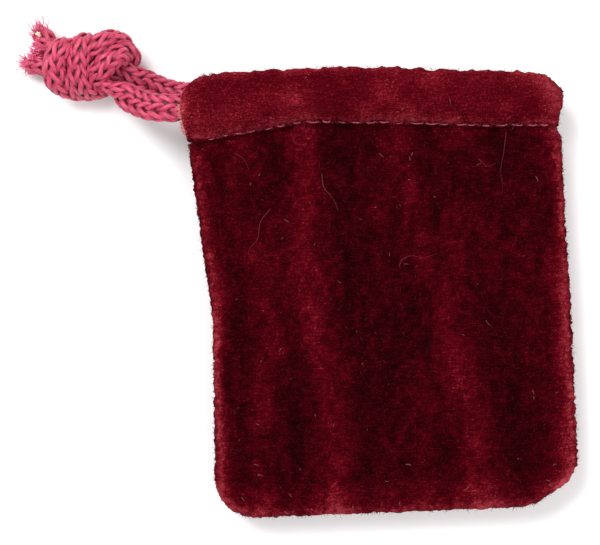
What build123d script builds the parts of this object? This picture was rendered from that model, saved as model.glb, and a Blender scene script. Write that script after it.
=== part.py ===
"""Velvet drawstring gift pouch, lying flat on its back.

Frame, in millimetres: +X to the right, +Y from the closed bottom to the mouth, +Z up.
The origin is on the surface that the pouch lies on, under the middle of the pouch
without its cord. The cord leaves the casing at the left and is tied in one knot.
"""
import math
import os

from build123d import *

os.makedirs("parts", exist_ok=True)

# Driving dimensions: the cloth
HALF_WIDTH = 32.5            # 65 mm across the casing
HALF_HEIGHT = 38.1           # 76.2 mm (3 in) from bottom seam to top fold
CLOTH = 1.0                  # velvet, ground weave and pile together
BODY_THICKNESS = 11.0        # the two panels puffed apart
EDGE_ROUND = 5.3             # roll of the cloth at the side and bottom seams
ALLOWANCE = 4.0              # seam allowance turned to the inside

# Driving dimensions: the casing that holds the cord
CASING_Y = 27.0              # lower edge of the casing, at its row of stitches
CASING_HEIGHT = 5.3          # one flattened tube of cloth with the cord in it
MOUTH_GAP = 4.4              # the mouth stands open by this much
STRIP = 1.4                  # two layers sewn flat below the channel
STRIP_THICKNESS = 2.1
END_LENGTH = 8.0             # stiff stretch of casing at the cord's exit
FOLD_STUB = 5.0              # straight stretch of casing before the right fold
BODY_GAP = 0.3               # air between pieces that move apart

# Driving dimensions: the cord and the threads
CORD = 3.0
CORD_IN_CASING = 2.7
FRONT_RUN_Y = 32.3
BACK_RUN_Y = 34.9
STITCH_PITCH = 2.5
STITCH = (1.9, 0.45, 0.4)

# Worked out from the above
FRONT_Z = CASING_HEIGHT + MOUTH_GAP
MOUTH_THICKNESS = FRONT_Z + CASING_HEIGHT
SEAM_Z = BODY_THICKNESS / 2
FOLD_X = HALF_WIDTH - MOUTH_THICKNESS / 2
END_X = -HALF_WIDTH + END_LENGTH
STUB_X = FOLD_X - FOLD_STUB
CORD_Z = CASING_HEIGHT / 2
FAR = 200.0

# Seam line of the panels, from above the mouth at the left, round the bottom and
# up to above the mouth at the right, with the rounding of each corner
OUTLINE = [
    (-34.5, 45.0),
    (-29.5, 2.0),
    (-29.8, -HALF_HEIGHT),
    (25.0, -HALF_HEIGHT),
    (32.2, -31.5),
    (32.2, -1.5),
    (30.6, 45.0),
]
OUTLINE_ROUNDS = [60.0, 7.5, 6.5, 6.5, 60.0]

# Route of the cord outside the casing. Each tail starts in the knot.
LOWER_STRAND = [
    (-32.5, 32.3, 12.35),
    (-35.7, 32.3, 12.35),
    (-39.2, 33.0, 9.6),
    (-42.4, 34.8, 6.8),
    (-45.2, 37.4, 5.4),
]
UPPER_STRAND = [
    (-32.5, 34.9, 2.65),
    (-35.2, 34.9, 2.65),
    (-38.0, 36.8, 2.8),
    (-41.4, 39.4, 3.8),
]
UPPER_TAIL = [
    (-53.2, 43.2, 4.6),
    (-55.4, 45.6, 3.2),
    (-57.0, 48.2, 1.8),
]
LOWER_TAIL = [
    (-54.6, 39.6, 3.8),
    (-57.4, 40.2, 2.6),
    (-60.2, 39.4, 1.7),
]

# Outer shape of the knot, as (along, out from its long axis): a large left lobe,
# a slight waist and a smaller right lobe
KNOT_CENTRE = (-48.2, 40.5, 4.9)
KNOT_TURN = 9.0
KNOT_PROFILE = [
    (-7.8, 0.0),
    (-6.6, 3.4),
    (-3.4, 4.9),
    (0.6, 4.4),
    (4.0, 4.3),
    (6.8, 2.8),
    (7.9, 0.0),
]


def block(low, high):
    """A box between two corners."""
    size = [b - a for a, b in zip(low, high)]
    middle = [(a + b) / 2 for a, b in zip(low, high)]
    return Pos(*middle) * Box(*size)


def seam_face(inset):
    """The area inside the seam line, moved in by inset."""
    sides = FilletPolyline(*OUTLINE, radius=OUTLINE_ROUNDS)
    top = Line(OUTLINE[-1], OUTLINE[0])
    face = make_face([*sides.edges(), top])
    return offset(face, amount=-inset) if inset else face


def pillow(inset):
    """The puffed body of the pouch, moved in by inset, running on past the mouth."""
    slab = Pos(0, 0, inset) * extrude(seam_face(inset), amount=BODY_THICKNESS - 2 * inset)
    rims = slab.edges().filter_by(lambda edge: abs(edge.tangent_at(0.5).Z) < 0.5)
    rims = rims.filter_by(lambda edge: edge.center().Y < CASING_Y)
    return fillet(rims, EDGE_ROUND - inset)


def allowance(low_z, high_z):
    """Seam allowance inside the side and bottom seams."""
    ring = seam_face(CLOTH / 2) - seam_face(CLOTH + ALLOWANCE)
    return Pos(0, 0, low_z) * extrude(ring, amount=high_z - low_z)


def panels():
    """Front and back panel, which meet at the seam line."""
    shell = pillow(0) - pillow(CLOTH)
    below_mouth = -HALF_HEIGHT - 1
    back_half = block((-FAR, below_mouth, -1), (FAR, CASING_Y, SEAM_Z))
    front_half = block((-FAR, below_mouth, SEAM_Z), (FAR, CASING_Y, BODY_THICKNESS + 1))
    front = (shell + allowance(SEAM_Z, SEAM_Z + CLOTH)) & front_half
    back = (shell + allowance(SEAM_Z - CLOTH, SEAM_Z)) & back_half
    return front, back


def casing_outer(low_y):
    """Outside of the casing's section as (y, z): a sewn strip, then the channel's bulge."""
    strip_end = CASING_Y + STRIP
    return [
        (low_y, 0),
        (36.5, 0),
        (HALF_HEIGHT, 1.8),
        (HALF_HEIGHT, 3.3),
        (36.2, CASING_HEIGHT),
        (31.2, CASING_HEIGHT),
        (strip_end, STRIP_THICKNESS),
        (low_y, STRIP_THICKNESS),
    ]


def casing_channel():
    """The channel for the cord, as (y, z)."""
    ceiling = CASING_HEIGHT - CLOTH
    return [
        (29.2, CLOTH),
        (36.1, CLOTH),
        (37.1, 2.1),
        (37.1, 3.1),
        (35.8, ceiling),
        (31.4, ceiling),
        (29.2, 1.9),
    ]


def casing_section(x, low_y, base_z):
    """Section of one casing at x, its flat side at base_z."""
    faces = []
    for points in (casing_outer(low_y), casing_channel()):
        corners = [Vector(x, y, base_z + z) for y, z in points]
        faces.append(make_face(Polyline(*corners, close=True).edges()))
    return faces[0] - faces[1]


def casing_tube(x0, x1, low_y, base_z):
    """A straight stretch of casing from x0 to x1."""
    return extrude(casing_section(x0, low_y, base_z), amount=x1 - x0, dir=(1, 0, 0))


def casing_fold():
    """The casing's closed right end, from the front round to the back."""
    low_y = CASING_Y + BODY_GAP
    axis = Axis((FOLD_X, 0, MOUTH_THICKNESS / 2), (0, 1, 0))
    bend = revolve(casing_section(FOLD_X, low_y, FRONT_Z), axis=axis, revolution_arc=180)
    front = casing_tube(STUB_X, FOLD_X, low_y, FRONT_Z)
    back = mirror(front, about=Plane.XY.offset(MOUTH_THICKNESS / 2))
    return bend + front + back


def stitch_row(start, end, size=STITCH):
    """A row of stitches from one point to another, each lying along the row."""
    run = Vector(*end) - Vector(*start)
    count = int(run.length / STITCH_PITCH)
    turn = math.degrees(math.atan2(run.Y, run.X))
    stitches = []
    for number in range(count):
        place = Vector(*start) + run * ((number + 0.5) / count)
        stitches.append(Location(place, (0, 0, turn)) * Box(*size))
    return Compound(children=stitches)


def casing_stitches(base_z):
    """The casing's row of stitches, on top of its sewn strip."""
    height = base_z + STRIP_THICKNESS + STITCH[2] / 2
    y = CASING_Y + STRIP / 2
    return stitch_row((END_X + BODY_GAP, y, height), (STUB_X - BODY_GAP, y, height))


def casing_tack(base_z):
    """Back-tacked stitches at the casing's open end, two short rows."""
    height = base_z + STRIP_THICKNESS + STITCH[2] / 2
    y = CASING_Y + STRIP / 2 + BODY_GAP / 2
    rows = []
    for lift in (-0.28, 0.28):
        start = (-HALF_WIDTH + 0.4, y + lift, height)
        rows.append(stitch_row(start, (END_X - 0.2, y + lift, height)))
    return Compound(children=[stitch for row in rows for stitch in row.solids()])


def seam_thread(*corners):
    """Stitches of a seam, from corner to corner, on both faces of its allowance."""
    reach = CLOTH + STITCH[2] / 2
    rows = []
    for height in (SEAM_Z - reach, SEAM_Z + reach):
        for start, end in zip(corners, corners[1:]):
            rows.append(stitch_row((*start, height), (*end, height)))
    return Compound(children=[stitch for row in rows for stitch in row.solids()])


def corner_radii(points):
    """The largest arc that each corner's two runs allow."""
    radii = []
    for before, here, after in zip(points, points[1:], points[2:]):
        into = Vector(*here) - Vector(*before)
        out_of = Vector(*after) - Vector(*here)
        half_turn = math.radians(into.get_angle(out_of)) / 2
        radii.append(0.45 * min(into.length, out_of.length) / math.tan(half_turn))
    return radii


def cord_tube(points, diameter, radii=None):
    """A round tube along straight runs joined by tangent arcs."""
    radii = radii or corner_radii(points)
    path = FilletPolyline(*points, radius=radii)
    section = Plane(origin=path @ 0, z_dir=path % 0) * Circle(diameter / 2)
    tube = sweep(section, path=path)
    expected = math.pi * diameter**2 / 4 * path.length
    return tube, radii, path.length, tube.volume / expected


def loop_points():
    """The hidden loop: in along the front casing, round the fold, out along the back."""
    bend_x = FOLD_X + CORD_Z + MOUTH_GAP / 2
    return [
        (-HALF_WIDTH, FRONT_RUN_Y, FRONT_Z + CORD_Z),
        (bend_x, FRONT_RUN_Y, FRONT_Z + CORD_Z),
        (bend_x, BACK_RUN_Y, CORD_Z),
        (-HALF_WIDTH, BACK_RUN_Y, CORD_Z),
    ]


def knot():
    """Outer shape of the overhand knot."""
    profile = Spline(*KNOT_PROFILE, tangents=((0, 1), (0, -1)))
    long_axis = Line(KNOT_PROFILE[-1], KNOT_PROFILE[0])
    body = revolve(make_face([profile, long_axis]), axis=Axis.X)
    return Location(KNOT_CENTRE, (0, 0, KNOT_TURN)) * body


def build():
    """Every sub-part by its name."""
    front, back = panels()
    in_seam = CLOTH + 1.0
    mouth_end = CASING_Y - 1.5
    low_end = -HALF_HEIGHT + 9.0
    parts = {
        "front_panel": front,
        "back_panel": back,
        "front_casing": casing_tube(END_X, STUB_X - BODY_GAP, CASING_Y, FRONT_Z),
        "back_casing": casing_tube(END_X, STUB_X - BODY_GAP, CASING_Y, 0),
        "casing_fold": casing_fold(),
        "front_casing_stitches": casing_stitches(FRONT_Z),
        "back_casing_stitches": casing_stitches(0),
        "front_casing_tack": casing_tack(FRONT_Z),
        "back_casing_tack": casing_tack(0),
        "left_seam_thread": seam_thread(
            (-32.2 + in_seam, mouth_end), (-29.5 + in_seam, 2.0), (-29.7 + in_seam, low_end)
        ),
        "right_seam_thread": seam_thread(
            (31.2 - in_seam, mouth_end), (32.1 - in_seam, low_end)
        ),
        "bottom_seam_thread": seam_thread(
            (-21.0, -HALF_HEIGHT + in_seam), (23.0, -HALF_HEIGHT + in_seam)
        ),
        "knot": knot(),
    }
    end_y = CASING_Y + BODY_GAP
    for name, base_z in (("front_casing_end", FRONT_Z), ("back_casing_end", 0)):
        parts[name] = casing_tube(-HALF_WIDTH, END_X - BODY_GAP, end_y, base_z)
    bend = 4.85
    tubes = {
        "drawstring_loop": (loop_points(), CORD_IN_CASING, [bend, bend]),
        "lower_strand": (LOWER_STRAND, CORD, None),
        "upper_strand": (UPPER_STRAND, CORD, None),
        "upper_tail": (UPPER_TAIL, CORD, None),
        "lower_tail": (LOWER_TAIL, CORD, None),
    }
    for name, (points, diameter, given) in tubes.items():
        tube, radii, length, share = cord_tube(points, diameter, given)
        parts[name] = tube
        shown = ", ".join(f"{radius:.1f}" for radius in radii)
        print(f"{name}: length {length:.1f} mm, radii {shown} mm, volume share {share:.3f}")
    return parts


for node, shape in build().items():
    export_step(shape, f"parts/{node}.step")
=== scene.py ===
"""Velvet drawstring gift pouch: the looks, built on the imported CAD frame.

Every length here is in millimetres in the frame's own axes, +X right, +Y to the mouth and
+Z up, and becomes metres as a mesh is made. "Across" and "along" are places on the flat
cloth of one panel, before it is rolled over the pouch's rim and folded at the mouth.
"""

import math

import bpy
import numpy as np
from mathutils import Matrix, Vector


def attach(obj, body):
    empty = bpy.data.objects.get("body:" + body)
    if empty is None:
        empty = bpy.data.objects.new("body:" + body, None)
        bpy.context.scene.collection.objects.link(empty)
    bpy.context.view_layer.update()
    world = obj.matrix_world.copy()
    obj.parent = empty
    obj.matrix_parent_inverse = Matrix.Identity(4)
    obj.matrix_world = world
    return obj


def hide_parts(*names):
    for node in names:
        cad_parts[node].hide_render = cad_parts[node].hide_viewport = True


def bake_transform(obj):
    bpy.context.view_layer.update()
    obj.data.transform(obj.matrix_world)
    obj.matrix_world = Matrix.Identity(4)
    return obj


MM = 0.001
FLOOR_GAP = 0.02        # nothing comes nearer to the floor
TABLE_SIZE = (257, 263)  # of random values, after which a pattern repeats
PATTERN_SHIFT = 90      # makes every place on the cloth positive for its patterns

# The cloth of one panel
BODY_MIDDLE = 5.5       # height of the side and bottom seams
CASING_MIDDLE = 7.5     # height of the mouth's middle
ROLL = 5.3              # radius of the roll from panel to seam
CORE_INSET = 7.0        # from the seam line to the part that stays flat
FOLD_X = 25.0           # the casing turns round to the back from here
TURNED_IN = 3.0         # seam allowance inside the pouch
SEAM_GAP = 0.15
CLOTH = 0.9             # thickness without the tips of the pile
HEM = 11.0              # the casing's cloth inside the mouth
STITCH_Y = 27.2         # the casing's row of stitches
STITCH_PITCH = 2.5
PLAIN_END = 22.0        # above this the cloth follows SECTION
PILE_REACH = 3.0        # fibres start this far past the bottom seam

# Between these places y, from the lower part's shape to the upper part's
SEAM_RISE = (22, 28)    # height of the seam
SIDES = (0, 18)         # the outline with its corners, then straight sides
CASING_SIDE = (24.5, 28.5)  # the right seam, then the casing's closed end
OPENING = (27.0, 27.6)  # the left seam, then the casing's open end

# The mesh of the cloth
ROW_PITCH = 0.235       # between rows of vertices where the pile shows
HEM_ROWS = 24
COLUMNS = 193
COARSE = 4              # rows and columns of the outer face to one of the inner face

# The cord and its knit
KNIT_PITCH = 2.1        # length of one stitch along the cord
KNIT_WIDE = 1.55        # the cord is a flattened tube: half its width at mid yarn
KNIT_FLAT = 0.90        # and half its thickness
KNIT_SPREAD = 0.35      # each half is wider by this where no knot pulls
KNIT_SQUEEZE = 0.40     # and narrower at the casing's closed end and tails
KNIT_DEPTH = 0.26       # how far the yarn weaves in and out
KNIT_LAP = 0.04         # how far a stitch lies over the one before
LOOP_TALL = 0.78        # how far a loop reaches up and down, in stitch lengths
LOOP_BULGE = 1.6        # how round a loop is
YARN_WIDE = 0.46        # the yarn is flat too: its two radii
YARN_FLAT = 0.33
WALES = 4               # columns of stitches round the cord
INLAY_GAP = 0.05        # from the yarn's middle in to the plain tube behind it
INLAY_SIDES = 12
KNOT_MIDDLE = (-48.6, 40.4, 4.9)
KNOT_AXIS = (-0.985, -0.17, 0.0)

# Seam line of the body, anticlockwise from above the mouth at the left
OUTLINE = [
    (-41.3, 120.0),
    (-28.95, -4.0),
    (-29.8, -38.4),
    (24.7, -38.4),
    (33.0, -33.1),
    (32.7, -1.5),
    (30.6, 120.0),
]

# Front cloth from the flat panel over the casing to the hem edge inside the mouth:
# place y, height z, how far its right end reaches past FOLD_X, and its left edge x
SECTION = [
    (22.0, 10.9, 5.4, -31.2),
    (24.8, 10.9, 5.6, -31.4),
    (26.5, 10.4, 6.0, -31.6),
    (27.2, 10.0, 6.2, -31.7),
    (27.5, 10.6, 6.4, -31.8),
    (27.8, 12.0, 6.9, -32.0),
    (28.7, 13.4, 7.1, -32.2),
    (30.3, 14.4, 7.4, -32.6),
    (32.4, 14.8, 7.8, -32.8),
    (34.6, 14.6, 7.6, -32.5),
    (36.6, 13.8, 6.6, -31.2),
    (37.9, 12.5, 5.2, -29.2),
    (37.9, 11.0, 3.6, -29.0),
    (36.9, 10.0, 2.5, -29.8),
    (34.6, 9.7, 2.2, -30.6),
    (31.0, 9.6, 2.2, -31.2),
    (28.6, 8.9, 1.6, -31.2),
    (26.4, 8.2, 1.2, -31.2),
]

# How far the row of stitches bows towards the mouth, at places across the pouch
BOW_ACROSS = (-32.5, -18.8, -12.0, 4.5, 20.0, 32.5)
BOW = (-0.8, 0.7, 1.8, 0.9, -0.2, -0.5)

# How far the top fold rises or drops, at places across the pouch
FOLD_ACROSS = (-32.5, -22.0, -8.0, 3.0, 12.0, 20.0, 27.0, 34.0)
FOLD_DROP = (-0.2, 0.0, 0.35, -0.1, -0.85, -1.4, -1.95, -2.4)

# Routes of the two strands: out of the casing, through the overhand knot and to the tail
LOWER_ROUTE = [
    (-32.5, 32.3, 12.35), (-35.8, 32.5, 12.2), (-38.8, 32.95, 10.2),
    (-42.0, 34.75, 7.6), (-45.3, 37.0, 5.4), (-48.4, 38.9, 4.7),
    (-51.0, 41.4, 4.7), (-52.0, 44.4, 5.4), (-52.9, 44.3, 7.9),
    (-54.6, 41.4, 8.3), (-54.3, 38.4, 7.3), (-52.4, 36.3, 4.7),
    (-49.6, 36.0, 2.0), (-46.0, 37.0, 1.6), (-43.0, 38.6, 1.7),
    (-41.8, 40.9, 3.0), (-42.0, 42.6, 5.8), (-43.6, 42.3, 8.1),
    (-45.4, 40.9, 8.4), (-47.2, 38.7, 7.2), (-49.4, 38.6, 5.0),
    (-52.4, 39.7, 4.3), (-55.4, 40.8, 3.8), (-57.6, 41.2, 3.0),
    (-59.0, 41.4, 2.3),
]
UPPER_ROUTE = [
    (-32.5, 34.9, 2.65), (-35.4, 35.4, 2.65), (-38.2, 36.9, 3.2),
    (-41.4, 38.6, 4.3), (-45.0, 40.3, 4.9), (-47.5, 42.6, 4.9),
    (-48.9, 45.2, 5.5), (-49.5, 44.6, 7.9), (-50.4, 41.2, 8.4),
    (-50.2, 38.0, 7.6), (-48.8, 36.0, 4.8), (-46.6, 36.4, 2.4),
    (-44.8, 38.8, 1.6), (-43.0, 41.4, 1.8), (-42.6, 44.0, 3.4),
    (-43.8, 45.4, 5.9), (-45.6, 45.2, 7.5), (-47.2, 43.6, 7.5),
    (-49.0, 42.4, 5.8), (-51.6, 42.3, 4.7), (-54.0, 43.2, 4.3),
    (-55.8, 44.9, 3.5), (-56.8, 46.9, 2.6),
]
# The cord inside the casing: along the front, round the right end and along the back
LOOP_ROUTE = [
    (-32.5, 32.3, 12.35),
    (19.8, 32.3, 12.35),
    (29.2, 32.3, 12.35),
    (29.2, 32.6, 2.75),
    (19.8, 33.4, 2.75),
    (-32.5, 34.9, 2.65),
]

# Loose hairs on the front: places (x, y) along each
LINT = [
    [(-9.2, 20.2), (-9.0, 18.0), (-8.0, 16.6), (-7.2, 15.4), (-6.7, 13.8)],
    [(-13.9, 26.6), (-13.6, 25.7), (-12.6, 25.3), (-11.6, 25.6)],
    [(3.4, 3.8), (3.9, 5.0), (5.6, 5.6), (7.6, 5.2), (10.0, 5.8)],
    [(22.6, 26.2), (22.0, 22.6), (21.4, 19.6), (21.6, 16.6)],
    [(-18.2, 14.6), (-20.0, 12.4), (-20.6, 9.6), (-22.2, 7.6), (-21.6, 5.4)],
    [(-24.0, 24.4), (-22.4, 23.2), (-21.6, 21.4)],
    [(17.6, 21.8), (19.0, 20.4), (20.6, 20.8)],
]

scene = bpy.context.scene
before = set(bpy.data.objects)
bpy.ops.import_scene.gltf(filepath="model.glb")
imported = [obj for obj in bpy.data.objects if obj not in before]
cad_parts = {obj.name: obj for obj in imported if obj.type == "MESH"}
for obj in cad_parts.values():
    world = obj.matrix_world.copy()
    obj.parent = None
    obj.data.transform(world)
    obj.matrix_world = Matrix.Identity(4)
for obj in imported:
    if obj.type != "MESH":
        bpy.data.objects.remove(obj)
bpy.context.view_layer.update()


# ------------------------ camera
def look_down():
    """The camera is square above the pouch, turned a little."""
    data = bpy.data.cameras.new("camera")
    data.lens = 210.5
    data.sensor_width = 36
    camera = bpy.data.objects.new("camera", data)
    camera.location = (-13.6 * MM, 3.5 * MM, 611 * MM)
    camera.rotation_euler = (0, 0, math.radians(-2.3))
    scene.collection.objects.link(camera)
    scene.camera = camera


# ------------------------ helpers
def eased(t):
    """From 0 to 1 as t does, but level at both ends."""
    return t * t * (3 - 2 * t)


def smooth(low, high, x):
    """From 0 at low to 1 at high, with no kink."""
    return eased(np.clip((x - low) / (high - low), 0, 1))


def hill(x, middle, width):
    """A round hill of height 1."""
    return np.exp(-(((x - middle) / width) ** 2))


def lattice(x, y, pitch_x, pitch_y, seed):
    """Smooth random values from 0 to 1, about one for each pitch."""
    wide, high = TABLE_SIZE
    table = np.random.default_rng(seed).random(TABLE_SIZE)
    u, v = x / pitch_x, y / pitch_y
    i, j = np.floor(u).astype(int), np.floor(v).astype(int)
    s, t = eased(u - i), eased(v - j)

    def row(j):
        return table[i % wide, j % high] * (1 - s) + table[(i + 1) % wide, j % high] * s

    return row(j) * (1 - t) + row(j + 1) * t


def cloth_noise(across, along, pitch_across, pitch_along, seed):
    """The same over the flat cloth, but from -0.5 to 0.5."""
    shifted = across + PATTERN_SHIFT, along + PATTERN_SHIFT
    return lattice(*shifted, pitch_across, pitch_along, seed) - 0.5


def unit(vectors):
    """The same directions with length 1."""
    return vectors / np.maximum(np.linalg.norm(vectors, axis=-1, keepdims=True), 1e-9)


def through(points, steps=12):
    """A smooth line through the points, with steps places between each two."""
    p = np.array(points, float)
    p = np.vstack([2 * p[0] - p[1], p, 2 * p[-1] - p[-2]])
    t = np.arange(steps)[:, None] / steps
    spans = []
    for a, b, c, d in zip(p[:-3], p[1:-2], p[2:-1], p[3:]):
        cubic = (-a + 3 * b - 3 * c + d) * t**3 + (2 * a - 5 * b + 4 * c - d) * t**2
        spans.append(0.5 * (cubic + (c - a) * t + 2 * b))
    return np.vstack(spans + [p[-2:-1]])


def lengths_along(points):
    """How far each point is from the first, along the line."""
    return np.r_[0, np.cumsum(np.linalg.norm(np.diff(points, axis=0), axis=1))]


def mesh_object(name, vertices, faces, materials, slots=None, floats=(), vectors=()):
    """A smooth mesh of vertices in millimetres, lying on the floor, with its attributes."""
    mesh = bpy.data.meshes.new(name)
    vertices = np.array(vertices, float)
    vertices[:, 2] = np.maximum(vertices[:, 2], FLOOR_GAP)
    mesh.from_pydata((vertices * MM).tolist(), [], faces)
    for material in materials:
        mesh.materials.append(material)
    mesh.polygons.foreach_set("use_smooth", np.ones(len(mesh.polygons), bool))
    if slots is not None:
        mesh.polygons.foreach_set("material_index", np.asarray(slots, np.int32))
    for kind, key, named in (("FLOAT", "value", floats), ("FLOAT_VECTOR", "vector", vectors)):
        for title, values in named:
            layer = mesh.attributes.new(title, kind, "POINT")
            layer.data.foreach_set(key, np.asarray(values, np.float32).ravel())
    mesh.update()
    made = bpy.data.objects.new(name, mesh)
    scene.collection.objects.link(made)
    return made


def quads(grid, flipped=False):
    """Faces between a grid of vertices."""
    a, b, c, d = grid[:-1, :-1], grid[:-1, 1:], grid[1:, 1:], grid[1:, :-1]
    corners = (a, d, c, b) if flipped else (a, b, c, d)
    return np.stack([x.ravel() for x in corners], axis=1).tolist()


def tube_faces(rings, sides, first=0):
    """Faces of a closed tube whose rings of vertices follow each other."""
    grid = first + np.arange(rings * sides).reshape(rings, sides)
    wall = quads(np.column_stack([grid, grid[:, 0]]))
    return wall + [grid[0, ::-1].tolist(), grid[-1].tolist()]


# ------------------------ materials
def new_material(name, finish):
    """A material with one shader, whose own sockets have the values in finish."""
    material = bpy.data.materials.new(name)
    material.use_nodes = True
    tree = material.node_tree
    tree.nodes.clear()
    output = tree.nodes.new("ShaderNodeOutputMaterial")
    shader = tree.nodes.new("ShaderNodeBsdfPrincipled")
    tree.links.new(shader.outputs["BSDF"], output.inputs["Surface"])
    for socket, value in finish.items():
        shader.inputs[socket].default_value = value
    return material, tree, shader


def ramp(tree, stops):
    """A colour ramp with a colour at each position."""
    node = tree.nodes.new("ShaderNodeValToRGB")
    elements = node.color_ramp.elements
    while len(elements) > 1:
        elements.remove(elements[-1])
    elements[0].position, elements[0].color = stops[0][0], (*stops[0][1], 1)
    for position, color in stops[1:]:
        elements.new(position).color = (*color, 1)
    return node


def colored(tree, shader, value, stops):
    """The shader's colour follows value through a ramp."""
    colors = ramp(tree, stops)
    tree.links.new(value, colors.inputs["Fac"])
    tree.links.new(colors.outputs["Color"], shader.inputs["Base Color"])


def attribute(tree, name, output):
    """A socket that reads one of the mesh's attributes."""
    node = tree.nodes.new("ShaderNodeAttribute")
    node.attribute_name = name
    return node.outputs[output]


def noise(tree, place, scale, detail, roughness=0.6):
    """Noise over place."""
    node = tree.nodes.new("ShaderNodeTexNoise")
    node.inputs["Scale"].default_value = scale
    node.inputs["Detail"].default_value = detail
    node.inputs["Roughness"].default_value = roughness
    tree.links.new(place, node.inputs["Vector"])
    return node.outputs["Fac"]


def drawn_noise(tree, place, scales, detail, roughness=0.6):
    """Noise with a scale for each direction."""
    node = tree.nodes.new("ShaderNodeMapping")
    node.inputs["Scale"].default_value = scales
    tree.links.new(place, node.inputs["Vector"])
    return noise(tree, node.outputs["Vector"], 1.0, detail, roughness)


def plus(tree, a, b, share):
    """a + share * (b - 0.5)"""
    node = tree.nodes.new("ShaderNodeMath")
    node.operation = "MULTIPLY_ADD"
    tree.links.new(b, node.inputs[0])
    node.inputs[1].default_value = share
    tree.links.new(a, node.inputs[2])
    middle = tree.nodes.new("ShaderNodeMath")
    middle.operation = "SUBTRACT"
    tree.links.new(node.outputs[0], middle.inputs[0])
    middle.inputs[1].default_value = share / 2
    return middle.outputs[0]


def bump(tree, shader, height, strength, distance):
    """Small relief that only the light sees, distance in millimetres."""
    node = tree.nodes.new("ShaderNodeBump")
    node.inputs["Strength"].default_value = strength
    node.inputs["Distance"].default_value = distance * MM
    tree.links.new(height, node.inputs["Height"])
    tree.links.new(node.outputs["Normal"], shader.inputs["Normal"])


def velvet_material():
    """Pile: an attribute says how bright each place is, the pile's own tone with painted sheen
    on its edges and ledge, and noise frays it.
    """
    material, tree, shader = new_material(
        "crimson_velvet",
        {
            "Roughness": 0.9,
            "Specular IOR Level": 0.0,
            "Sheen Weight": 0.06,
            "Sheen Roughness": 0.2,
            "Sheen Tint": (0.9, 0.28, 0.36, 1),
        },
    )
    place = attribute(tree, "flat_place", "Vector")
    nap_and_sheen = attribute(tree, "nap_and_sheen", "Fac")
    tufts = drawn_noise(tree, place, (2.2, 1.5, 1.0), 4.0, 0.75)
    tips = drawn_noise(tree, place, (4.5, 6.0, 1.0), 2.0, 0.7)
    rows = drawn_noise(tree, place, (0.5, 3.4, 1.0), 1.0, 0.5)
    glints = ramp(tree, [(0.57, (0, 0, 0)), (0.72, (1, 1, 1))])
    fine = drawn_noise(tree, place, (3.2, 3.8, 1.0), 1.0, 0.5)
    tree.links.new(fine, glints.inputs["Fac"])
    value = plus(tree, nap_and_sheen, tufts, 0.65)
    value = plus(tree, value, tips, 0.80)
    value = plus(tree, value, rows, 0.40)
    value = plus(tree, value, glints.outputs["Color"], 0.30)
    # the top stops colour the painted sheen on the edges and the ledge
    stops = [
        (0.00, (0.007, 0.0006, 0.0010)),
        (0.25, (0.025, 0.0006, 0.0020)),
        (0.50, (0.066, 0.0010, 0.0038)),
        (0.70, (0.135, 0.0050, 0.0110)),
        (0.88, (0.245, 0.0190, 0.0290)),
        (1.00, (0.370, 0.0450, 0.0600)),
    ]
    colored(tree, shader, value, stops)
    bump(tree, shader, tips, 0.5, 0.15)
    return material


def ground_material():
    """The woven back of the velvet, without pile."""
    finish = {"Roughness": 0.85, "Specular IOR Level": 0.1}
    material, tree, shader = new_material("velvet_ground", finish)
    place = attribute(tree, "flat_place", "Vector")
    threads = tree.nodes.new("ShaderNodeTexWave")
    threads.inputs["Scale"].default_value = 0.6
    threads.inputs["Distortion"].default_value = 1.2
    tree.links.new(place, threads.inputs["Vector"])
    value = plus(tree, threads.outputs["Fac"], noise(tree, place, 1.4, 3.0), 0.8)
    stops = [(0.0, (0.045, 0.003, 0.008)), (1.0, (0.16, 0.018, 0.032))]
    colored(tree, shader, value, stops)
    bump(tree, shader, threads.outputs["Fac"], 0.4, 0.1)
    return material


def yarn_material():
    """Shiny filament yarn of the cord, with streaks along it, and painted shade where it lies
    deep.
    """
    material, tree, shader = new_material(
        "pink_yarn",
        {
            "Roughness": 0.42,
            "Specular IOR Level": 0.35,
            "Sheen Weight": 0.12,
            "Sheen Tint": (1.0, 0.55, 0.7, 1),
        },
    )
    place = attribute(tree, "yarn_place", "Vector")
    # painted shade and highlight: darker where the yarn lies deep, lighter where it lies on top
    depth_shade = attribute(tree, "depth_shade", "Fac")
    streaks = drawn_noise(tree, place, (0.9, 7.0, 7.0), 3.0, 0.7)
    patches = drawn_noise(tree, place, (0.25, 0.4, 0.4), 2.0)
    value = plus(tree, depth_shade, streaks, 0.95)
    value = plus(tree, value, patches, 0.45)
    stops = [
        (0.0, (0.045, 0.0010, 0.007)),
        (0.30, (0.200, 0.008, 0.032)),
        (0.60, (0.440, 0.029, 0.078)),
        (1.0, (0.730, 0.110, 0.200)),
    ]
    colored(tree, shader, value, stops)
    bump(tree, shader, streaks, 0.8, 0.10)
    return material


def thread_material(name, dark, light):
    """Sewing thread with a twist."""
    finish = {"Roughness": 0.6, "Specular IOR Level": 0.15}
    material, tree, shader = new_material(name, finish)
    place = attribute(tree, "yarn_place", "Vector")
    twist = drawn_noise(tree, place, (2.5, 2.0, 1.0), 2.0)
    colored(tree, shader, twist, [(0.25, dark), (0.75, light)])
    bump(tree, shader, twist, 0.5, 0.06)
    return material


def fibre_material(name, color):
    """Single fibres are thinner than any pattern on them."""
    finish = {"Base Color": (*color, 1), "Roughness": 0.7, "Specular IOR Level": 0.1}
    return new_material(name, finish)[0]


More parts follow.
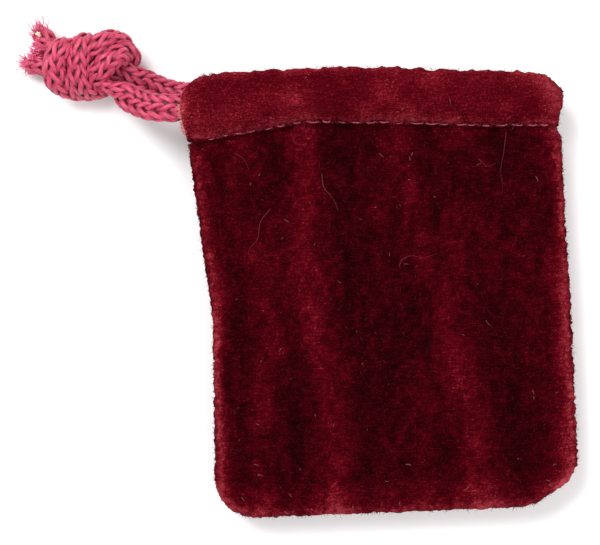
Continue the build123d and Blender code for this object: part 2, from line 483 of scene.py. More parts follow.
# ------------------------ cord
def spline_points(name, route):
    """Places along a cord, read from a NURBS spline that has the route as its points."""
    curve = bpy.data.curves.new(name, "CURVE")
    curve.dimensions = "3D"
    curve.resolution_u = 16
    spline = curve.splines.new("NURBS")
    spline.points.add(len(route) - 1)
    for point, place in zip(spline.points, route):
        point.co = (*(x * MM for x in place), 1)
    spline.order_u = 3
    spline.use_endpoint_u = True
    holder = bpy.data.objects.new(name, curve)
    scene.collection.objects.link(holder)
    bpy.context.view_layer.update()
    evaluated = holder.evaluated_get(bpy.context.evaluated_depsgraph_get())
    line = bpy.data.meshes.new_from_object(evaluated)
    places = np.array([v.co for v in line.vertices]) / MM
    bpy.data.objects.remove(holder)
    return places


def carried_frames(points):
    """Two directions square to the line at each place, turned no more than needed."""
    along = unit(np.gradient(points, axis=0))
    side = np.cross(along[0], (0.0, 0.0, 1.0))
    sides = []
    for t in along:
        side = side - t * (side @ t)
        side = side / np.linalg.norm(side)
        sides.append(side)
    sides = np.array(sides)
    return along, sides, np.cross(along, sides)


def lying_flat(points, along, side, up):
    """The two directions turned so that the flat side lies on the knot, and half widths."""
    axis = np.array(KNOT_AXIS)
    rel = points - np.array(KNOT_MIDDLE)
    beside = rel @ axis
    out = rel - beside[:, None] * axis
    distance = np.linalg.norm(out, axis=1)
    # in the knot's outer turns, by distance from its axis and from its middle along it
    in_knot = smooth(1.8, 3.0, distance) * smooth(6.4, 5.4, distance)
    in_knot = in_knot * smooth(8.0, 6.0, np.abs(beside))
    facing = unit(out) * in_knot[:, None] + np.array((0, 0, 1.0)) * (1 - in_knot)[:, None]
    turn = np.arctan2((facing * side).sum(1), (facing * up).sum(1))
    turn = averaged(np.unwrap(2 * turn) / 2)[:, None]
    flat_up = up * np.cos(turn) + side * np.sin(turn)
    # the tails, what hangs free, and the casing's closed end, by place x
    x = points[:, 0]
    tail = smooth(-54.0, -57.5, x)
    free = (1 - in_knot) * smooth(-10, -25, x) * (1 - tail)
    squeezed = smooth(0, 20, x) + tail
    wide = KNIT_WIDE + KNIT_SPREAD * free - KNIT_SQUEEZE * squeezed
    return np.cross(flat_up, along), flat_up, wide


def averaged(values, reach=8):
    """Each value's mean with its neighbours, as many before as after."""
    count = 2 * reach + 1
    padded = np.r_[np.full(reach, values[0]), values, np.full(reach, values[-1])]
    return np.convolve(padded, np.ones(count) / count, "valid")


def at_length(length, lengths, values):
    """The vectors in values, known at lengths, between them."""
    return np.column_stack([np.interp(length, lengths, values[:, i]) for i in range(3)])


def knit_loops(length, turn, steps):
    """Along the yarn: its place along the cord, its angle round it and how far out it lies."""
    stitches = WALES * length / KNIT_PITCH
    t = np.arange(0, 2 * math.pi * stitches, 2 * math.pi / steps)
    uneven = lattice(t, 0 * t, 7.0, 1.0, 5) - 0.5
    s = KNIT_PITCH * (t / (2 * math.pi * WALES) + (LOOP_TALL + 0.15 * uneven) * np.cos(t))
    angle = (t + LOOP_BULGE * np.sin(2 * t)) / WALES + turn + 0.12 * uneven
    lift = 0.08 * uneven - KNIT_DEPTH * np.cos(2 * t) - KNIT_LAP * np.cos(t)
    return np.clip(s, 0, length), angle, lift


def yarn_tube(middle, away, sides):
    """Vertices of a flat yarn along middle that faces away, and their angles round it."""
    forward = unit(np.gradient(middle, axis=0))
    normal = unit(away - forward * (away * forward).sum(1, keepdims=True))
    across = np.cross(forward, normal)
    turned = 2 * math.pi * np.arange(sides) / sides
    rings = middle[:, None] + YARN_FLAT * normal[:, None] * np.cos(turned)[None, :, None]
    rings = rings + YARN_WIDE * across[:, None] * np.sin(turned)[None, :, None]
    return rings.reshape(-1, 3), np.tile(turned, len(middle))


def inlay_tube(points, side, up, wide):
    """Vertices of the plain tube that fills the gaps between the stitches."""
    turned = 2 * math.pi * np.arange(INLAY_SIDES) / INLAY_SIDES
    half_side = (wide - INLAY_GAP)[:, None, None] * side[:, None]
    rings = points[:, None] + half_side * np.cos(turned)[None, :, None]
    rings = rings + (KNIT_FLAT - INLAY_GAP) * up[:, None] * np.sin(turned)[None, :, None]
    return rings.reshape(-1, 3)


def knitted_cord(name, points, material, turn=0.0, steps=18, sides=8):
    """One yarn knitted round and round the cord's own line, as a flattened tube."""
    lengths = lengths_along(points)
    along, side, up = carried_frames(points)
    side, up, wide = lying_flat(points, along, side, up)
    s, angle, lift = knit_loops(lengths[-1], turn, steps)
    a, b = at_length(s, lengths, side), at_length(s, lengths, up)
    half = np.interp(s, lengths, wide)[:, None]
    cosine, sine = np.cos(angle)[:, None], np.sin(angle)[:, None]
    away = unit(a * cosine * KNIT_FLAT + b * sine * half)
    middle = at_length(s, lengths, points) + a * cosine * half + b * sine * KNIT_FLAT
    middle = middle + away * lift[:, None]
    yarn, turned = yarn_tube(middle, away, sides)
    inlay = inlay_tube(points, side, up, wide)
    # painted highlight on the yarn's outer side and where it lies on top, painted shade on its
    # inner side and where it dips under
    depth_shade = 0.32 + 0.24 * np.cos(turned) + np.repeat(0.7 * lift, sides)
    round_yarn = np.column_stack([np.cos(turned), np.sin(turned)]) / (2 * math.pi)
    place = np.column_stack([np.repeat(lengths_along(middle), sides), round_yarn])
    faces = tube_faces(len(s), sides)
    faces += tube_faces(len(points), INLAY_SIDES, first=len(yarn))
    # the plain tube behind the stitches gets a low value of 0.10, painted shade
    return mesh_object(
        name,
        np.vstack([yarn, inlay]),
        faces,
        [material],
        floats=[("depth_shade", np.r_[depth_shade, np.full(len(inlay), 0.10)])],
        vectors=[("yarn_place", np.vstack([place, inlay * 0.7]))],
    )


def make_cords(yarn):
    """The cord in the casing, and the two strands that are tied in one knot."""
    loop_line = spline_points("loop_line", LOOP_ROUTE)
    loop = knitted_cord("casing_cord", loop_line, yarn, steps=10, sides=6)
    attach(loop, "drawstring")
    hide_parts("drawstring_loop")
    for name, route, turn, stands_for in (
        ("lower_cord", LOWER_ROUTE, 0.4, ("lower_strand", "lower_tail", "knot")),
        ("upper_cord", UPPER_ROUTE, 1.3, ("upper_strand", "upper_tail")),
    ):
        line = spline_points(name + "_line", route)
        strand = knitted_cord(name, line, yarn, turn)
        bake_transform(strand)
        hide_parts(*stands_for)


# ------------------------ cloth
def inset_line(points, distance):
    """The same corners moved inwards by distance from both of their edges."""
    p = np.array(points, float)
    e = unit(np.diff(p, axis=0))
    inward = np.column_stack([-e[:, 1], e[:, 0]])
    moved = [p[0] + distance * inward[0]]
    for i in range(1, len(p) - 1):
        both = inward[i - 1] + inward[i]
        moved.append(p[i] + distance * both / (1 + inward[i - 1] @ inward[i]))
    moved.append(p[-1] + distance * inward[-1])
    return np.array(moved)


CORE = inset_line(OUTLINE, CORE_INSET)
LEFT_SIDE = OUTLINE[2::-1]
RIGHT_SIDE = OUTLINE[4:]
BOTTOM_Y = OUTLINE[2][1]
SECTION_LINE = through(SECTION)
SECTION_LENGTH = PLAIN_END + lengths_along(SECTION_LINE[:, :2])
CLOTH_END = SECTION_LENGTH[-1]
PILE_END = CLOTH_END - HEM
# The ledge is the step up to the casing: its middle's height and where to look for it
LEDGE_HEIGHT = 11.4
LEDGE_SPAN = slice(40, 72)
LEDGE = np.interp(LEDGE_HEIGHT, SECTION_LINE[LEDGE_SPAN, 1], SECTION_LENGTH[LEDGE_SPAN])


def off_core(place):
    """How far each place lies outside the flat core, from where, and which way."""
    a, e = CORE[:-1], np.diff(CORE, axis=0)
    size = np.linalg.norm(e, axis=1)
    rel = place[:, None] - a
    inside = ((e[:, 0] * rel[..., 1] - e[:, 1] * rel[..., 0]) / size).min(1) >= 0
    share = np.clip((rel * e).sum(2) / size**2, 0, 1)
    near = a + share[..., None] * e
    distance = np.linalg.norm(place[:, None] - near, axis=2)
    nearest = distance.argmin(1)
    rows = np.arange(len(place))
    near, distance = near[rows, nearest], distance[rows, nearest]
    distance = np.where(inside, 0, distance)
    return distance, near, unit(place - near)


def rolled(past, reach):
    """How far out and how high the cloth is, at that length past the start of its roll."""
    t = np.clip(past / reach, 0, math.pi / 2)
    beyond = np.maximum(past - reach * math.pi / 2, 0)
    return np.where(past < 0, past, reach * np.sin(t) - beyond), np.cos(t)


def section_at(along):
    """Place y, height, reach and left edge of the cloth at that length from the bottom."""
    columns = [np.interp(along, SECTION_LENGTH, SECTION_LINE[:, i]) for i in range(4)]
    columns[0] = np.where(along < PLAIN_END, along, columns[0])
    return columns


def outline_x(y, side):
    """Place x of the seam line at y, on the left, -1, or on the right, 1."""
    xs, ys = zip(*(LEFT_SIDE if side < 0 else RIGHT_SIDE))
    return np.interp(y, ys, xs)


def roll_starts(y, reach):
    """Places x from which the cloth rolls over the left and the right side."""
    casing = smooth(*CASING_SIDE, y)
    right = (outline_x(y, 1) - reach) * (1 - casing) + FOLD_X * casing
    return outline_x(y, -1) + reach, right


def seam_height(y):
    """Height of the seam, or of the mouth's middle above it."""
    return BODY_MIDDLE + (CASING_MIDDLE - BODY_MIDDLE) * smooth(*SEAM_RISE, y)


def opened(across, y, reach, left_edge):
    """Place x in the casing's open left end, where the roll's cloth lies flat instead."""
    left = outline_x(y, -1) + reach
    seam = left - reach * math.pi / 2 - TURNED_IN
    start = np.maximum(left, left_edge + 2.0)
    flat = start + (across - start) * (left_edge - start) / (seam - start)
    return np.where(across < start, flat, across)


def shown_across(across, along):
    """Across as the pattern of the pile counts it, which isn't squeezed at the open end."""
    y, _, reach, left_edge = section_at(along)
    share = smooth(*OPENING, y)
    return across * (1 - share) + opened(across, y, reach, left_edge) * share


def unevenness(across, along, y, z, reach, seed):
    """The same place y, height and reach with the cloth's own waves, lumps and bows."""
    y = y + np.interp(across, BOW_ACROSS, BOW) * hill(y, STITCH_Y, 3.5)
    on_casing = smooth(27.5, 30.0, y) * smooth(CLOTH_END - 8, CLOTH_END - 14, along)
    waves = 0.6 * cloth_noise(across, along, 9.0, 30.0, seed + 1)
    lumps = 0.5 * cloth_noise(across, along, 5.5, 4.0, seed + 2)
    z = z + waves * smooth(26, 18, y) + lumps * on_casing
    ripple = lattice(across + PATTERN_SHIFT, 0 * along, 3.5, 1.0, seed + 3) - 0.5
    y = y + 0.25 * ripple * on_casing
    y = y + np.interp(across, FOLD_ACROSS, FOLD_DROP) * smooth(31, 37.5, y)
    reach = reach + 0.25 * (lattice(along + PATTERN_SHIFT, 0 * along, 1.9, 1.0, seed + 4) - 0.5)
    return y, z, reach


def round_outline(across, y, reach):
    """Place x and y, and share of height, rolled over the outline, corners included."""
    flat = np.column_stack([across, y])
    distance, near, way = off_core(flat)
    start = CORE_INSET - reach
    out, up = rolled(distance - start, reach)
    plan = near + way * (start + out)[:, None]
    return np.where(distance[:, None] > 0, plan, flat), up


def over_sides(across, y, reach, flat_left, open_end):
    """Place x and share of height, rolled straight over the two sides, with an open end."""
    left, right = roll_starts(y, reach)
    out_right, up_right = rolled(across - right, reach)
    out_left, up_left = rolled(left - across, reach)
    x_left = (left - out_left) * (1 - open_end) + flat_left * open_end
    up_left = up_left * (1 - open_end) + open_end
    x = np.where(across > 0, right + out_right, x_left)
    return x, np.where(across > 0, up_right, up_left)


def cloth_place(across, along, front):
    """Where a place on the flat cloth comes to lie, with the tips of its pile left out."""
    y, z, reach, left_edge = section_at(along)
    open_end = smooth(*OPENING, y)
    flat_left = opened(across, y, reach, left_edge)
    y, z, reach = unevenness(across, along, y, z, reach, 0 if front else 40)
    middle = seam_height(y)
    plan, up = round_outline(across, y, reach)
    x, up_side = over_sides(across, y, reach, flat_left, open_end)
    sides = smooth(*SIDES, along)
    x = plan[:, 0] * (1 - sides) + x * sides
    y = plan[:, 1] * (1 - sides) + y * sides
    up = up * (1 - sides) + up_side * sides
    height = SEAM_GAP + (z - middle - SEAM_GAP) * up
    return np.column_stack([x, y, middle + height if front else middle - height])


def cloth_normal(across, along, front, step=0.25):
    """The way out of the cloth, from places a step to each side."""
    over = cloth_place(across + step, along, front) - cloth_place(across - step, along, front)
    ahead = cloth_place(across, along + step, front) - cloth_place(across, along - step, front)
    normal = unit(np.cross(over, ahead))
    return normal if front else -normal


def turned_end(y, reach, turned, side, farthest=60.0):
    """How far across the cloth reaches where it is rolled over the outline, by halving."""
    low, high = np.zeros(len(y)), np.full(len(y), farthest)
    for _ in range(30):
        middle = (low + high) / 2
        distance = off_core(np.column_stack([side * middle, y]))[0]
        outside = distance > CORE_INSET - reach + turned
        low, high = np.where(outside, low, middle), np.where(outside, middle, high)
    return side * low


def side_limits(along):
    """The left and right edge of the flat cloth at each length from the bottom."""
    y, _, reach, _ = section_at(along)
    turned = reach * math.pi / 2 + TURNED_IN
    sides = smooth(*SIDES, along)
    left, right = roll_starts(y, reach)
    rounded_left, rounded_right = (turned_end(y, reach, turned, side) for side in (-1, 1))
    left = rounded_left * (1 - sides) + (left - turned) * sides
    return left, rounded_right * (1 - sides) + (right + turned) * sides


# Pitches across and along of the pile's unevenness: how its rows wander, its tufts and its
# clumps, and its ribs over a side edge and over an end
PILE_PITCHES = ((3.0, 5.0), (0.75, 0.5), (1.7, 1.2), (9.0, 0.62), (0.7, 9.0))
PILE_ROW = 0.62         # from one row of tufts to the next


def pile_height(across, along, normal, seed):
    """Tufts in rows, the rows a little uneven, and ribs where the cloth bends over an edge."""
    wander, tufts, clumps, over_side, over_end = (
        cloth_noise(across, along, *pitches, seed + i) for i, pitches in enumerate(PILE_PITCHES)
    )
    rows = np.sin(2 * math.pi * (along / PILE_ROW + 0.9 * (wander + 0.5)))
    ribs = over_side * np.abs(normal[:, 0]) + over_end * np.abs(normal[:, 1])
    return 0.035 * rows + 0.20 * tufts + 0.19 * clumps + 0.52 * ribs


# Bands where the nap leans up or down, the first and the last being painted sheen along the
# rolled left and right edges:
# half width, how much brighter it looks, and the middle's x at each of the heights in BAND_Y
BAND_Y = (-23.5, -8.0, 5.5, 18.0)
BANDS = [
    # painted sheen along the rolled left edge
    (2.4, 0.34, (-29.8, -29.3, -29.3, -30.3)),
    (2.6, 0.14, (-22.0, -19.5, -21.0, -23.5)),
    (1.8, -0.12, (-15.5, -23.0, -25.0, -18.0)),
    (2.8, 0.26, (-8.0, -11.0, -12.0, -13.0)),
    (2.0, -0.10, (-3.5, -4.0, -5.5, -8.0)),
    (2.4, -0.06, (3.5, 1.5, -0.5, -3.0)),
    (2.2, 0.20, (16.0, 12.5, 7.0, 4.9)),
    (1.2, -0.10, (10.5, 8.0, 9.8, 9.8)),
    (2.2, 0.10, (11.5, 15.5, 13.5, 14.0)),
    (2.6, -0.08, (22.0, 22.0, 22.0, 21.0)),
    # painted sheen along the rolled right edge
    (2.8, 0.46, (32.3, 32.3, 32.3, 32.3)),
]
BAND_SHARE = 0.70       # of that brightness
PANEL_NAP = 0.36        # brightness of the pile between the bands


def panel_nap_and_sheen(across, along, y, seed):
    """How bright the panel's pile looks: brushed bands, blotches and single tufts, with painted
    sheen along the side edges and towards the bottom edge.
    """
    wander = 2.6 * cloth_noise(across, along, 6.0, 7.0, seed)
    nap_and_sheen = PANEL_NAP + 0 * across
    for width, gain, places in BANDS:
        middle = np.interp(y, BAND_Y, places)
        nap_and_sheen = nap_and_sheen + BAND_SHARE * gain * hill(across + wander, middle, width)
    nap_and_sheen = nap_and_sheen + 0.16 * cloth_noise(across, along, 5.0, 12.0, seed + 1)
    # painted sheen brightening towards the bottom edge
    nap_and_sheen = nap_and_sheen + 0.20 * smooth(-31, -36, y)
    nap_and_sheen = nap_and_sheen + 0.16 * cloth_noise(across, along, 1.3, 2.2, seed + 2)
    return nap_and_sheen + 0.22 * cloth_noise(across, along, 0.6, 0.8, seed + 5)


def nap_and_sheen_value(across, along, front, normal):
    """How bright the pile looks, from 0 to 1: its own tone with painted sheen on the steep
    edges and on the ledge, and painted light that lifts the shade in the crease below the
    ledge.
    """
    y = section_at(along)[0]
    seed = 60 if front else 80
    panel = panel_nap_and_sheen(across, along, y, seed)
    casing = smooth(27.2, 28.2, y)
    blotch = cloth_noise(across, along, 4.0, 3.0, seed + 3)
    casing_nap = 0.655 + 0.20 * blotch + 0.32 * (panel - 0.39)
    nap_and_sheen = panel * (1 - casing) + casing_nap * casing
    over_side = cloth_noise(across, along, 2.2, 0.4, seed + 4) + 0.5
    over_end = cloth_noise(across, along, 0.4, 2.2, seed + 6) + 0.5
    ragged = over_end + (over_side - over_end) * np.abs(normal[:, 0])
    outer = np.where(along < PILE_END, 1, 0)
    from_ledge = along - LEDGE
    # painted sheen on the ledge's rim above the stitches
    ledge_sheen = hill(from_ledge, 0.9, 0.9) * outer
    # painted light that lifts the shade in the crease below the ledge
    crease_light = hill(from_ledge, -1.7, 1.2)
    # painted sheen where the cloth turns steeply over the edges
    steep_sheen = smooth(0.92, 0.50, np.abs(normal[:, 2])) * outer
    steep_sheen = steep_sheen * (1 - 0.35 * casing)
    steep_sheen = steep_sheen * (1 - hill(from_ledge, 0, 2.0))
    nap_and_sheen = nap_and_sheen + ledge_sheen * (0.06 + 0.30 * ragged) + steep_sheen * (0.13 + 0.30 * ragged) + crease_light * 0.14
    raw_edge = smooth(-30.8, -32.8, across) * casing
    return nap_and_sheen + 0.5 * raw_edge * ragged


def cloth_rows():
    """Lengths from the bottom at which the cloth has a row of vertices."""
    bottom = BOTTOM_Y + ROLL - ROLL * math.pi / 2
    inside = np.linspace(bottom - TURNED_IN, bottom, 5)[:-1]
    shown = np.arange(bottom, PILE_END, ROW_PITCH)
    hem = np.linspace(shown[-1], CLOTH_END, HEM_ROWS)[1:]
    rows = np.concatenate([inside, shown, hem])
    spare = (len(rows) - 1) % COARSE
    return rows[: len(rows) - spare] if spare else rows


def edge_faces(grid, inner_grid, front):
    """Faces that join the fine outer grid to the coarse inner one along all four edges."""
    faces = []
    for fine, rough, turned in (
        (grid[0], inner_grid[0], False),
        (grid[-1], inner_grid[-1], True),
        (grid[:, 0], inner_grid[:, 0], True),
        (grid[:, -1], inner_grid[:, -1], False),
    ):
        for i in range(len(rough) - 1):
            side = fine[COARSE * i : COARSE * (i + 1) + 1][::-1].tolist()
            face = [*side, int(rough[i]), int(rough[i + 1])]
            faces.append(tuple(face[::-1] if turned == front else face))
    return faces


def make_cloth(name, front, velvet, ground):
    """A panel and its casing in one sheet, with pile outside and a coarser inner face."""
    rows = cloth_rows()
    columns = np.linspace(0, 1, COLUMNS)
    left, right = side_limits(rows)
    across = (left[:, None] + (right - left)[:, None] * columns).ravel()
    along = np.repeat(rows, COLUMNS)
    base = cloth_place(across, along, front)
    normal = cloth_normal(across, along, front)
    pattern = shown_across(across, along)
    pile = pile_height(pattern, along, normal, 100 if front else 120)
    outer = base + normal * pile[:, None]
    grid = np.arange(len(outer)).reshape(len(rows), COLUMNS)
    coarse = grid[::COARSE, ::COARSE]
    behind = coarse.ravel()
    inner = base[behind] - normal[behind] * CLOTH
    inner_grid = np.arange(coarse.size).reshape(coarse.shape) + len(outer)
    outer_faces = quads(grid, flipped=not front)
    inner_faces = quads(inner_grid, flipped=front)
    edges = edge_faces(grid, inner_grid, front)
    slots = np.repeat([0, 1, 0], [len(outer_faces), len(inner_faces), len(edges)])
    # the pile's own tone, with painted sheen and painted light in the crease
    nap_and_sheen = nap_and_sheen_value(pattern, along, front, normal)
    flat = np.column_stack([pattern, along, np.full(len(across), 0.0 if front else 50.0)])
    return mesh_object(
        name,
        np.vstack([outer, inner]),
        outer_faces + inner_faces + edges,
        [velvet, ground],
        slots,
        floats=[("nap_and_sheen", np.r_[nap_and_sheen, np.full(coarse.size, 0.3)])],
        vectors=[("flat_place", np.vstack([flat, flat[behind]]))],
    )


# ------------------------ threads and fibres
def tubes(name, lines, radii, material, sides=5, thinned=0.6):
    """Many thin tubes in one piece, each along its own points, and each thinner at its end."""
    vertices, faces, places = [], [], []
    for line, radius in zip(lines, radii):
        line = np.asarray(line, float)
        _, side, up = carried_frames(line)
        # each tube shows its own part of the pattern
        lengths = lengths_along(line) + 7.3 * line[0][0]
        faces += tube_faces(len(line), sides, first=len(vertices))
        for i, (p, u, v) in enumerate(zip(line, side, up)):
            thin = radius * (1 - thinned * i / (len(line) - 1))
            for j in range(sides):
                turned = 2 * math.pi * j / sides
                vertices.append(p + thin * (u * math.cos(turned) + v * math.sin(turned)))
                places.append((lengths[i], j / sides, 0.0))
    return mesh_object(name, vertices, faces, [material], vectors=[("yarn_place", places)])


def fibre_lines(roots, ways, lengths, curl, rng, steps=4):
    """Bent fibres that start at roots and set off along ways."""
    lines = []
    for root, way, length in zip(roots, ways, lengths):
        bend = rng.normal(0, curl, 3)
        heading = np.array(way, float)
        point = np.array(root, float)
        line = [point]
        for _ in range(steps):
            heading = heading + bend / steps
            heading = heading / np.linalg.norm(heading)
            point = point + heading * length / steps
            line.append(point)
        lines.append(np.array(line))
    return lines


def bunch(name, rng, root, way, lean, lengths, look, curl=0.7, steps=4, low=-math.inf, size=1):
    """Bent fibres from each root and about the same way, in one piece.

    look is their radius, their material and how many sides each has.
    """
    radius, material, sides = look
    ways = unit(way + rng.normal(0, lean, root.shape))
    reach = size * rng.uniform(*lengths, len(root))
    lines = fibre_lines(root, ways, reach, curl, rng, steps)
    for line in lines:
        line[:, 2] = np.maximum(line[:, 2], low)
    return tubes(name, lines, np.full(len(root), radius), material, sides)


def pile_fibres(name, front, count, length, material, seed, radius=0.035, lean=0.45):
    """Fibres that stand out of the pile, so that edges look soft, or lie on it."""
    rng = np.random.default_rng(seed)
    along = rng.uniform(BOTTOM_Y - PILE_REACH, PILE_END, count)
    left, right = side_limits(along)
    across = left + TURNED_IN + (right - left - 2 * TURNED_IN) * rng.random(count)
    on_casing = left + (right - left - TURNED_IN) * rng.random(count)
    across = np.where(along > 26, on_casing, across)  # up to the casing's open end
    root, normal = cloth_place(across, along, front), cloth_normal(across, along, front)
    look = radius, material, 3
    steps = 2 if lean < 1 else 3  # a fibre that lies down bends more often
    gather(bunch(name, rng, root, normal, lean, (0.5, 1.3), look, steps=steps, size=length))


def ledge_fibres(name, front, material, seed, count=420):
    """Pile that stands out over the row of stitches."""
    rng = np.random.default_rng(seed)
    across = rng.uniform(-31.5, 30.0, count)
    along = LEDGE + rng.uniform(-0.5, 0.9, count)
    root, normal = cloth_place(across, along, front), cloth_normal(across, along, front)
    look = 0.04, material, 4
    gather(bunch(name, rng, root, normal, 0.5, (0.25, 0.6), look, curl=0.8, steps=3))


def stitch_row(name, front, material, count=25, first=-31.4, points=6):
    """Machine stitches that hold the casing, half sunk in the pile."""
    rng = np.random.default_rng(7 if front else 8)
    rise = 0.22 * np.sin(np.linspace(0, math.pi, points)) - 0.04
    lines, radii = [], []
    for i in range(count):
        x = first + i * STITCH_PITCH + rng.normal(0, 0.15)
        across = np.linspace(x, x + rng.uniform(1.3, 2.2), points)
        along = LEDGE - 0.1 + np.linspace(*rng.normal(0, 0.3, 2), points)
        place = cloth_place(across, along, front)
        lines.append(place + cloth_normal(across, along, front) * rise[:, None])
        radii.append(rng.uniform(0.11, 0.17))
    return tubes(name, lines, radii, material, sides=7, thinned=0.2)


def seam_threads(name, places, material, half_length=0.75, radius=0.2):
    """Thread across a seam, one short loop for each stitch."""
    t = np.linspace(-1, 1, 5)
    out = 0.12 * np.cos(t * math.pi / 2) - 0.1
    lines = []
    for x, y, z, way_x, way_y in places:
        line = [x + way_x * out, y + way_y * out, z + half_length * t]
        lines.append(np.column_stack(line))
    return tubes(name, lines, np.full(len(lines), radius), material, sides=6)


def seam_places():
    """Stitches along the left, bottom and right seams, with the way out of the pouch."""
    found = {"left": [], "bottom": [], "right": []}
    for y in np.arange(-29.0, 26.0, STITCH_PITCH):
        for side, key in ((-1, "left"), (1, "right")):
            found[key].append((outline_x(y, side), y, seam_height(y), side, 0.0))
    for x in np.arange(-22.0, 24.0, STITCH_PITCH):
        found["bottom"].append((x, BOTTOM_Y, BODY_MIDDLE, 0.0, -1.0))
    return found


def gather(piece):
    """Moves the piece's placing into its mesh, and reads the places of its vertices.
    """
    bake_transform(piece)
    place = np.zeros(len(piece.data.vertices) * 3)
    piece.data.vertices.foreach_get("co", place)


def make_cloth_pieces():
    """The two sheets of velvet, each a panel with its casing."""
    velvet, ground = velvet_material(), ground_material()
    front = make_cloth("front_cloth", True, velvet, ground)
    gather(front)
    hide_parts("front_panel", "front_casing", "front_casing_end", "casing_fold")
    back = make_cloth("back_cloth", False, velvet, ground)
    gather(back)
    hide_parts("back_panel", "back_casing", "back_casing_end")


def make_threads():
    """The casing's stitches and the stitches in the three seams."""
    pink = thread_material("casing_thread", (0.30, 0.030, 0.060), (0.62, 0.130, 0.190))
    red = thread_material("seam_thread", (0.07, 0.004, 0.010), (0.20, 0.018, 0.036))
    for side in ("front", "back"):
        row = stitch_row(side + "_stitches", side == "front", pink)
        gather(row)
        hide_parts(side + "_casing_stitches", side + "_casing_tack")
    for side, places in seam_places().items():
        threads = seam_threads(side + "_seam", places, red)
        gather(threads)
        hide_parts(side + "_seam_thread")


def make_pile_fibres(bright):
    """Soft edges all round, and the pile over the rows of stitches."""
    deep = fibre_material("pile_fibre", (0.09, 0.003, 0.010))
    rosy = fibre_material("ledge_fibre", (0.30, 0.030, 0.050))
    pile_fibres("front_pile", True, 7000, 0.55, deep, 11)
    pile_fibres("back_pile", False, 4000, 0.5, deep, 12)
    pile_fibres("front_bright_fibres", True, 2600, 0.8, bright, 13, 0.026, 1.6)
    pile_fibres("back_bright_fibres", False, 1200, 0.8, bright, 15, 0.026, 1.6)
    ledge_fibres("front_ledge_fibres", True, rosy, 16)
    ledge_fibres("back_ledge_fibres", False, rosy, 17)


def make_lint(bright):
    """Loose hairs on the front, the first one brown, and short pale ones all over."""
    brown = fibre_material("brown_hair", (0.11, 0.040, 0.018))
    pale = fibre_material("pale_lint", (0.34, 0.14, 0.14))
    lines = []
    for places in LINT:
        line = through([(x, y, 0.0) for x, y in places], 6)
        line[:, 2] = cloth_place(line[:, 0], line[:, 1], True)[:, 2] + 0.3
        line[:, 2] += 0.25 * np.sin(np.linspace(0, 7, len(line)))
        lines.append(line)
    gather(tubes("lint_hair", lines[:1], [0.055], brown, sides=5))
    gather(tubes("lint_fibres", lines[1:], np.full(len(lines) - 1, 0.05), bright, sides=4))
    pile_fibres("front_pale_lint", True, 130, 0.9, pale, 18, 0.045, 1.4)
    pile_fibres("back_pale_lint", False, 130, 0.9, pale, 19, 0.045, 1.4)


def make_raw_edge(rng, count=150):
    """Cut threads of the cloth round the casing's open end."""
    raw = fibre_material("raw_edge_fibre", (0.62, 0.20, 0.19))
    along = rng.uniform(LEDGE + 2.2, LEDGE + 7.0, count)
    left, _ = side_limits(along)
    on_front = rng.random(count)[:, None] < 0.5
    root = np.where(on_front, cloth_place(left, along, True), cloth_place(left, along, False))
    root = root + rng.normal(0, 0.15, root.shape)
    look = 0.06, raw, 4
    gather(bunch("raw_edge", rng, root, (-1, 0, 0), 0.45, (0.3, 0.9), look, steps=3))


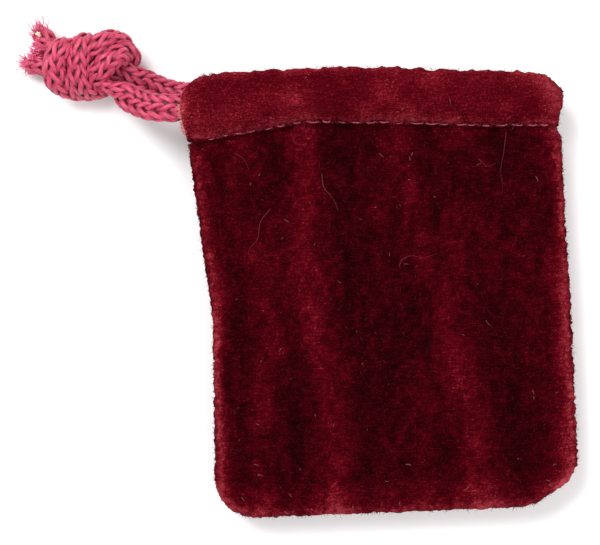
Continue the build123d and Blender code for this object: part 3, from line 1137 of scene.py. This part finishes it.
def make_cord_ends(rng):
    """The frayed ends of both tails, the loose yarn between them and the cord's pale core."""
    pink = fibre_material("cord_fibre", (0.72, 0.14, 0.26))
    cream = fibre_material("cord_core_fibre", (0.80, 0.62, 0.48))
    fray, loose, core = (0.09, pink, 5), (0.19, pink, 6), (0.1, cream, 5)
    for name, end, way in (
        ("upper_fray", UPPER_ROUTE[-1], (-0.5, 0.8, -0.1)),
        ("lower_fray", LOWER_ROUTE[-1], (-0.95, 0.1, -0.1)),
    ):
        root = np.array(end) + rng.normal(0, 0.6, (130, 3)) * (1, 1, 0.8)
        piece = bunch(name, rng, root, way, 0.35, (0.7, 2.0), fray, curl=0.6, low=0.15)
        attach(piece, "knot_end")
    share = rng.random(240)[:, None]
    root = np.array((-57.9, 41.6, 2.6)) * (1 - share) + np.array((-56.0, 45.2, 3.2)) * share
    root = root + rng.normal(0, 0.35, root.shape)
    way = -0.9, 0.35, 0.0
    piece = bunch("loose_yarn", rng, root, way, 0.4, (0.8, 2.0), loose, curl=0.8)
    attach(piece, "knot_end")
    root = np.array((-57.5, 46.6, 4.05)) + rng.normal(0, 0.13, (14, 3))
    way = 0.9, -0.25, 0.1
    piece = bunch("core_fibres", rng, root, way, 0.12, (0.7, 1.1), core, curl=0.5)
    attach(piece, "knot_end")


def make_fibres():
    """Soft edges, lint, the raw edge of the casing and the frayed ends of the cord."""
    bright = fibre_material("pile_fibre_bright", (0.17, 0.016, 0.030))
    make_pile_fibres(bright)
    make_lint(bright)
    rng = np.random.default_rng(14)
    make_raw_edge(rng)
    make_cord_ends(rng)


# ------------------------ stage
def make_stage(half=1500.0):
    """The floor."""
    finish = {"Base Color": (0.93, 0.93, 0.935, 1), "Roughness": 0.9}
    paper = new_material("paper", finish)[0]
    corners = [(-half, -half, 0), (half, -half, 0), (half, half, 0), (-half, half, 0)]
    floor = mesh_object("floor", corners, [(0, 1, 2, 3)], [paper])
    floor.location.z = -FLOOR_GAP * MM


def make_light(name, place, size, power):
    """A square light that shines at the middle of the frame."""
    data = bpy.data.lights.new(name, "AREA")
    data.shape = "SQUARE"
    data.size = size
    data.energy = power
    light = bpy.data.objects.new(name, data)
    light.location = place
    light.rotation_euler = (-Vector(place)).to_track_quat("-Z", "Y").to_euler()
    scene.collection.objects.link(light)


def make_lights():
    """A key light, a fill light and a bright room."""
    make_light("key", (-0.35, 0.45, 0.8), 0.5, 9.0)
    make_light("fill", (0.5, -0.35, 0.7), 0.7, 5.0)
    world = bpy.data.worlds.new("room")
    world.use_nodes = True
    background = world.node_tree.nodes["Background"]
    background.inputs["Color"].default_value = (1, 1, 1, 1)
    background.inputs["Strength"].default_value = 0.55
    scene.world = world
    scene.view_settings.view_transform = "Standard"


look_down()
make_cords(yarn_material())
make_cloth_pieces()
make_threads()
make_fibres()
make_stage()
make_lights()
